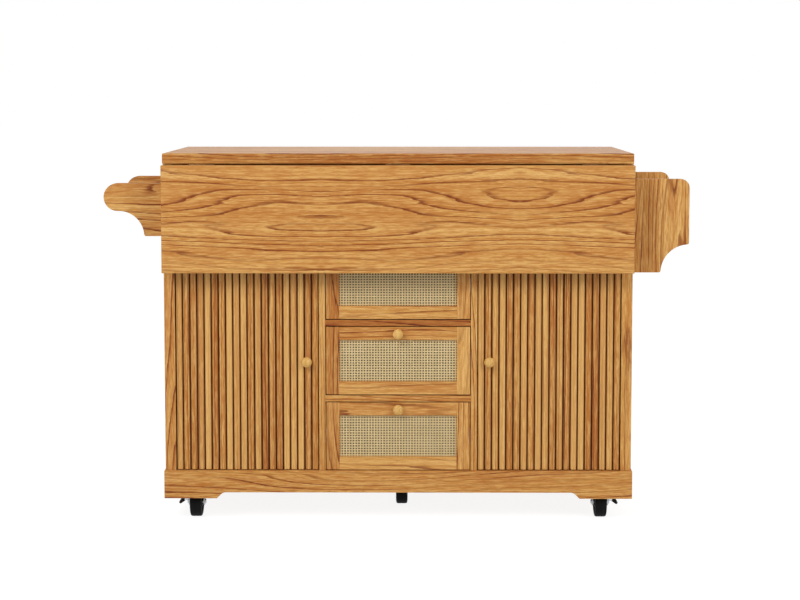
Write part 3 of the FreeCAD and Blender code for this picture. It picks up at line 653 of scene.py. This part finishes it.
def weave(node):
    """Upright and level strands that pass over and under each other."""
    low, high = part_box(node)
    dice = random.Random(node)
    face_y = low.y + WEAVE_DEPTH
    columns = round((high.x - low.x) / STRAND_PITCH[0])
    rows = round((high.z - low.z) / STRAND_PITCH[1])
    step = ((high.x - low.x) / columns, (high.z - low.z) / rows)
    points, faces, grain, tone, crown = [], [], [], [], []

    def strand(centre, start, crossings, level, phase):
        """One strand, flat behind and crowned in front, with points at every crossing and halfway between."""
        shade = dice.uniform(-1, 1)
        shift = [dice.uniform(-STRAND_SHIFT, STRAND_SHIFT) for _ in range(3)]
        sway = dice.uniform(-STRAND_SWAY, STRAND_SWAY)
        first = len(points)
        for n in range(2 * crossings + 1):
            run = start + n * step[0 if level else 1] / 2
            over = (-1) ** (n // 2 + phase) if n % 2 else 0
            for across in STRAND_SECTION:
                rise = 1 - (2 * across) ** 2
                depth = face_y - STRAND_LIFT * over - STRAND_CROWN * rise
                side = centre + sway + across * STRAND_WIDTH
                points.append((run, depth, side) if level else (side, depth, run))
                grain.append((run + shift[0], across * STRAND_WIDTH + shift[1], shift[2]))
                tone.append(shade)
                crown.append(rise)
        around = len(STRAND_SECTION)
        last = len(points) - around
        own = []
        for a in range(first, last, around):
            for k in range(around):
                m = (k + 1) % around
                own.append([a + k, a + m, a + m + around, a + k + around])
        own.append([first + k for k in reversed(range(around))])
        own.append([last + k for k in range(around)])
        faces.extend(corner[::-1] if level else corner for corner in own)

    for n in range(columns):
        strand(low.x + (n + 0.5) * step[0], low.z, rows, False, n)
    for n in range(rows):
        strand(low.z + (n + 0.5) * step[1], low.x, columns, True, n + 1)
    mesh = write(node + "_weave", points, faces, grain, tone)
    mesh.attributes.new("crown", "FLOAT", "POINT").data.foreach_set("value", crown)
    mesh.set_sharp_from_angle(angle=math.radians(STRAND_SHARP_ANGLE))
    piece(node + "_weave", mesh, cane, body_of[node], [node])


def lining(node):
    """Sheet behind the strands, bowed a little to the back, whose dark colour is painted shade seen through
    the weave.
    """
    low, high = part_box(node)
    across, up = LINING_GRID
    points, faces = [], []
    for i in range(across + 1):
        for k in range(up + 1):
            x = low.x + (high.x - low.x) * i / across
            z = low.z + (high.z - low.z) * k / up
            bow = LINING_BOW * math.sin(math.pi * i / across) * math.sin(math.pi * k / up)
            points.append((x, low.y + LINING_DEPTH + bow, z))
    for i in range(across):
        for k in range(up):
            a = i * (up + 1) + k
            faces.append([a, a + up + 1, a + up + 2, a + 1])
    made = piece(node + "_lining", write(node + "_lining", points, faces), shaded_lining, body_of[node])
    thick = made.modifiers.new("thickness", "SOLIDIFY")
    thick.thickness = LINING_THICK
    thick.offset = -1


for place in DRAWERS:
    weave(place + "_drawer_cane")
    lining(place + "_drawer_cane")

# Fittings and casters in metal and plastic
for node in ("drawer_channels", "stay_wall_plates", "caster_plates"):
    boards(node, steel, EASED_METAL)
for node in ("door_pivot_pins", "leaf_hinge_plates", "leaf_fittings"):
    boards(node, bronze, EASED_METAL)
for node in nodes_ending("_stay", "_fork"):
    boards(node, steel, EASED_LINK)
for node in nodes_ending("_pedal"):
    boards(node, plastic, EASED_PLASTIC)

# Screw, rivet and bolt heads, with profiles in shares of their radius, and of its height for a bolt's
SCREW_PROFILE = ((0.0, 1.0), (0.12, 1.0), (0.3, 0.86), (0.42, 0.6))
RECESS_LEVELS = (0.42, 0.12)
RECESS_CORE = 0.16
RECESS_ARM = 0.36
RECESS_SHARPNESS = 9
RIVET_PROFILE = (
    (0.0, 1.0), (0.08, 1.0), (0.16, 0.94), (0.24, 0.78), (0.29, 0.52), (0.31, 0.22), (0.315, 0.05),
)
HEXAGON_PROFILE = ((0.0, 1.0), (0.8, 1.0), (1.0, 0.84))
SCREW_RADIUS = 0.0034
RIVET_RADIUS = 0.005


def screw(at, axis, radius=SCREW_RADIUS):
    """Screw head with a cross recess, standing on a face."""
    def cross(angle):
        return radius * (RECESS_CORE + RECESS_ARM * abs(math.cos(2 * angle)) ** RECESS_SHARPNESS)

    recess = [(level * radius, cross) for level in RECESS_LEVELS]
    return lathe(scaled(SCREW_PROFILE, radius) + recess, at, axis, count=32)


def rivet(at, axis):
    """Low domed rivet head."""
    return lathe(scaled(RIVET_PROFILE, RIVET_RADIUS), at, axis, count=28)


def hexagon(at, axis, radius, height):
    """Nut or bolt head with a chamfered end."""
    return lathe([(level * height, share * radius) for level, share in HEXAGON_PROFILE], at, axis, count=6)


def solids_of(node):
    """Lowest and highest corner of each solid in a CAD node."""
    return [box_of(solid) for solid, _ in islands(node)]


def inset(low, high, by):
    """Two places that lie inside the ends of a span."""
    return low + by, high - by


# Screws in the hinge flaps, the stay plates, the caster plates and the back panel
PLATE_THICK = 0.0016
HINGE_SCREW_INSET = 0.011
HINGE_SCREW_EDGE = 0.010
STAY_SCREW_INSET = 0.009
STAY_SCREW_EDGE = 0.008
CASTER_PLATE_THICK = 0.003
CASTER_SCREW_SPREAD = 0.0245
CASTER_SCREW_RADIUS = 0.004
RACE_PROFILE = (
    (0, 25.4), (1.2, 26.0), (2.6, 26.0), (3.2, 24.6), (3.6, 24.4), (4.2, 25.2), (5.4, 25.2), (6.0, 24.4),
)
BACK_SCREW_RADIUS = 0.0038
BACK_SCREW_EDGE = 0.012
BACK_SCREW_INSET = 0.02
BACK_SCREWS_ACROSS = 7
BACK_SCREWS_UP = 3
# The leaf's fittings above this level are hinge flaps, and the others are stay plates
HINGE_LEVEL = 0.8

heads = []
for low, high in solids_of("leaf_hinge_plates"):
    heads += [screw((x, high.y - HINGE_SCREW_EDGE, high.z - PLATE_THICK), DOWN)
              for x in inset(low.x, high.x, HINGE_SCREW_INSET)]
joined("top_hinge_screws", heads, bronze, "cabinet")

heads = []
for low, high in solids_of("leaf_fittings"):
    if high.z > HINGE_LEVEL:
        heads += [screw((x, low.y + PLATE_THICK, low.z + HINGE_SCREW_EDGE), BACKWARD)
                  for x in inset(low.x, high.x, HINGE_SCREW_INSET)]
    else:
        outer = high.x - STAY_SCREW_EDGE if low.x > 0 else low.x + STAY_SCREW_EDGE
        heads += [screw((outer, low.y + PLATE_THICK, z), BACKWARD)
                  for z in inset(low.z, high.z, STAY_SCREW_INSET)]
joined("leaf_fitting_screws", heads, bronze, "leaf")

heads = []
for low, high in solids_of("stay_wall_plates"):
    inner = low.x + STAY_SCREW_EDGE if low.x > 0 else high.x - STAY_SCREW_EDGE
    heads += [screw((inner, high.y - PLATE_THICK, z), FORWARD)
              for z in inset(low.z, high.z, STAY_SCREW_INSET)]
joined("stay_plate_screws", heads, steel, "cabinet")

heads, races = [], []
for low, high in solids_of("caster_plates"):
    centre = (low + high) / 2
    centre.z = high.z - CASTER_PLATE_THICK
    heads += [screw(centre + CASTER_SCREW_SPREAD * Vector((i, k, 0)), DOWN, CASTER_SCREW_RADIUS)
              for i in BOTH_WAYS for k in BOTH_WAYS]
    races.append(lathe(scaled(RACE_PROFILE), centre, DOWN, count=48))
joined("caster_screws", heads, steel, "cabinet")
joined("caster_races", races, steel, "cabinet")

low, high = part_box("back_panel")
places = []
for n in range(BACK_SCREWS_ACROSS):
    x = low.x + BACK_SCREW_INSET + (high.x - low.x - 2 * BACK_SCREW_INSET) * n / (BACK_SCREWS_ACROSS - 1)
    places += [(x, high.y, z) for z in inset(low.z, high.z, BACK_SCREW_EDGE)]
for n in range(1, BACK_SCREWS_UP + 1):
    z = low.z + (high.z - low.z) * n / (BACK_SCREWS_UP + 1)
    places += [(x, high.y, z) for x in inset(low.x, high.x, BACK_SCREW_EDGE)]
joined("back_screws", [screw(at, BACKWARD, BACK_SCREW_RADIUS) for at in places], bronze, "cabinet")

# Rivets at the stays' pivots and knees
STAY_END = 0.009
RIVET_INSET = 0.0045


def mean(values):
    """Mean of a list of numbers."""
    return sum(values) / len(values)


def stay_rivets(node, facing):
    """A head at a link's lower end, on the face that looks to facing, and one at its upper end behind it."""
    low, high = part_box(node)
    points = islands(node)[0][0]
    ends = []
    for pick in (min, max):
        tip = pick(p.z for p in points)
        group = [p for p in points if abs(p.z - tip) < STAY_END]
        ends.append(Vector((0, mean([p.y for p in group]), mean([p.z for p in group]))))
    inward = (ends[1] - ends[0]).normalized() * RIVET_INSET
    foot, head = ends[0] + inward, ends[1] - inward
    foot.x, head.x = (high.x, low.x) if facing > 0 else (low.x, high.x)
    return [rivet(foot, (facing, 0, 0)), rivet(head, (-facing, 0, 0))]


for side, outward in (("left", -1), ("right", 1)):
    for part, facing in (("lower", outward), ("upper", -outward)):
        node = side + "_" + part + "_stay"
        joined(node + "_rivets", stay_rivets(node, facing), steel, body_of[node])

# Tyres, hubs and axle bolts
TYRE_PROFILE = mirrored((
    (0.8, 37.1), (1.1, 37.5), (9.8, 37.4), (12.0, 36.9), (13.4, 35.8), (14.1, 34.2), (14.6, 31.4),
    (15.0, 28.4), (15.0, 27.2), (14.0, 26.4),
))
HUB_PROFILE = mirrored((
    (13.8, 26.6), (13.0, 25.2), (11.0, 24.2), (11.0, 11.8), (14.4, 11.0), (15.0, 10.0), (15.0, 5.0),
))
HUB_RIBS = 6
RIB_REACH = (0.0108, 0.0250)
RIB_FOOT = (0.0105, 0.0019)
RIB_CREST = (0.0138, 0.0012)
BLOCK_FACES = ((0, 3, 2, 1), (4, 5, 6, 7), (0, 1, 5, 4), (1, 2, 6, 5), (2, 3, 7, 6), (3, 0, 4, 7))
SPACER_PLACE = 0.0153
SPACER_PROFILE = ((0, 7.6), (2.7, 7.6))
WASHER_PLACE = 0.0205
WASHER_PROFILE = ((0, 6.4), (0.5, 6.4), (0.7, 6.1))
BOLT_PLACE = 0.0212
BOLT_RADIUS = 0.0054
BOLT_HEIGHT = 0.0024


def middle(node):
    """Middle of a CAD node's box."""
    low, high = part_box(node)
    return (low + high) / 2


def hub_ribs(centre):
    """Tapered ribs on both faces of a wheel. Foot and crest are (distance from its middle, half width)."""
    inner, outer = RIB_REACH
    ribs = []
    for n in range(HUB_RIBS):
        angle = 2 * math.pi * n / HUB_RIBS
        out = Vector((0, math.cos(angle), math.sin(angle)))
        side = Vector((0, -math.sin(angle), math.cos(angle)))
        for face in BOTH_WAYS:
            points = []
            for depth, wide in (RIB_FOOT, RIB_CREST):
                for reach, turn in ((inner, -1), (inner, 1), (outer, 1), (outer, -1)):
                    points.append(centre + Vector((face * depth, 0, 0)) + out * reach + side * turn * wide)
            ribs.append((points, [corner[::face] for corner in BLOCK_FACES]))
    return ribs


def axle_bolts(centre):
    """Spacer, washer and bolt head at both ends of an axle."""
    bolts = []
    for face in BOTH_WAYS:
        axis = Vector((face, 0, 0))
        bolts.append(lathe(scaled(SPACER_PROFILE), centre + axis * SPACER_PLACE, axis, count=32))
        bolts.append(lathe(scaled(WASHER_PROFILE), centre + axis * WASHER_PLACE, axis, count=32))
        bolts.append(hexagon(centre + axis * BOLT_PLACE, axis, BOLT_RADIUS, BOLT_HEIGHT))
    return bolts


for name in CASTERS:
    wheel, fork = name + "_caster_wheel", name + "_caster_fork"
    centre = middle(wheel)
    tyre = lathe(scaled(TYRE_PROFILE), centre, (1, 0, 0), count=64, ring=True)
    hub = lathe(scaled(HUB_PROFILE), centre, (1, 0, 0), count=48)
    joined(wheel + "_tyre", [tyre], rubber, body_of[wheel], [wheel])
    joined(wheel + "_hub", [hub] + hub_ribs(centre), plastic, body_of[wheel])
    joined(fork + "_axle_bolt", axle_bolts(centre), steel, body_of[fork])

# Pedal ribs, spread by shares of the way from a pedal's root to its tip
PEDAL_RIBS = 4
FIRST_RIB = 0.22
RIB_STEP = 0.23
RIB_RADIUS = 0.0008
RIB_TIP_RADIUS = 0.0003
RIB_INSET = 0.003
RIB_ROUND = 0.0034
PEDAL_TIP = 0.0075
ON_FACE = 0.0001

for node in nodes_ending("_pedal"):
    low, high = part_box(node)
    outer = low.x if low.x < 0 else high.x
    front = [p for p in islands(node)[0][0] if p.y < low.y + ON_FACE]
    tip = max((p for p in front if abs(p.x - outer) < PEDAL_TIP), key=lambda p: p.z)
    root = max(front, key=lambda p: p.z)
    length = high.y - low.y
    profile = [(RIB_INSET, RIB_TIP_RADIUS), (RIB_ROUND, RIB_RADIUS), (length - RIB_ROUND, RIB_RADIUS),
               (length - RIB_INSET, RIB_TIP_RADIUS)]
    ribs = []
    for n in range(PEDAL_RIBS):
        at = root.lerp(tip, FIRST_RIB + RIB_STEP * n)
        ribs.append(lathe(profile, (at.x, low.y, at.z), BACKWARD, count=12))
    joined(node + "_ribs", ribs, plastic, body_of[node])

# Stage, light and camera
FLOOR_REACH = 40
FLOOR_BOUNCE = 0.8
FLOOR_GLOW = 0.89
FLOOR_SHADE = 0.26
WORLD_LIGHT = 0.43
CAMERA_PLACE = (0.0446, -4.3242, 1.0846)
CAMERA_TILT = 4.289
CAMERA_TURN = 0.329
FOCAL_LENGTH = 75.72
SENSOR_WIDTH = 36.0
LENS_SHIFT = (-0.0058, -0.11)


def make_floor():
    """Pale floor that the camera and reflections see as white, apart from the cart's shadow."""
    s = Shader(bpy.data.materials.new("floor"))
    s.tree.nodes.remove(s.surface)
    plain = s.node("ShaderNodeBsdfDiffuse", {"Color": grey(FLOOR_BOUNCE)})
    glow = s.node("ShaderNodeEmission", {"Strength": FLOOR_GLOW})
    faint = s.node("ShaderNodeBsdfDiffuse", {"Color": grey(FLOOR_SHADE)})
    bright = s.node("ShaderNodeAddShader", {0: glow.outputs[0], 1: faint.outputs[0]})
    choice = s.node("ShaderNodeMixShader", {0: s.seen(), 1: plain.outputs[0], 2: bright.outputs[0]})
    s.put(s.tree.nodes["Material Output"].inputs["Surface"], choice.outputs[0])
    return s.owner


ground = bpy.data.meshes.new("floor")
corners = [(x * FLOOR_REACH, y * FLOOR_REACH, 0) for x, y in ((-1, -1), (1, -1), (1, 1), (-1, 1))]
ground.from_pydata(corners, [], [(0, 1, 2, 3)])
ground.materials.append(make_floor())
floor = bpy.data.objects.new("floor", ground)
scene.collection.objects.link(floor)

scene.world = bpy.data.worlds.new("studio")
sky = Shader(scene.world, "Background")
sky.set(Color=grey(1.0), Strength=sky.ease(sky.seen(), 0.0, 1.0, WORLD_LIGHT, 1.0))


def lamp(name, place, target, size, power):
    """Rectangular lamp that looks at a target."""
    data = bpy.data.lights.new(name, "AREA")
    data.shape = "RECTANGLE"
    data.size, data.size_y = size
    data.energy = power
    made = bpy.data.objects.new(name, data)
    scene.collection.objects.link(made)
    made.location = place
    made.rotation_euler = (Vector(target) - Vector(place)).to_track_quat("-Z", "Y").to_euler()


lamp("key", place=(-2.5, -3.7, 3.7), target=(0, 0, 0.5), size=(2.2, 1.6), power=117)
lamp("fill", place=(3.2, -3.6, 2.5), target=(0, 0, 0.4), size=(2.4, 1.4), power=66)
lamp("back", place=(0.5, 3.0, 3.6), target=(0, 0, 0.5), size=(3.0, 2.0), power=23)

lens = bpy.data.cameras.new("camera")
lens.lens = FOCAL_LENGTH
lens.sensor_width = SENSOR_WIDTH
lens.shift_x, lens.shift_y = LENS_SHIFT
camera = bpy.data.objects.new("camera", lens)
scene.collection.objects.link(camera)
camera.location = CAMERA_PLACE
camera.rotation_euler = (math.radians(90 - CAMERA_TILT), 0.0, math.radians(CAMERA_TURN))
scene.camera = camera
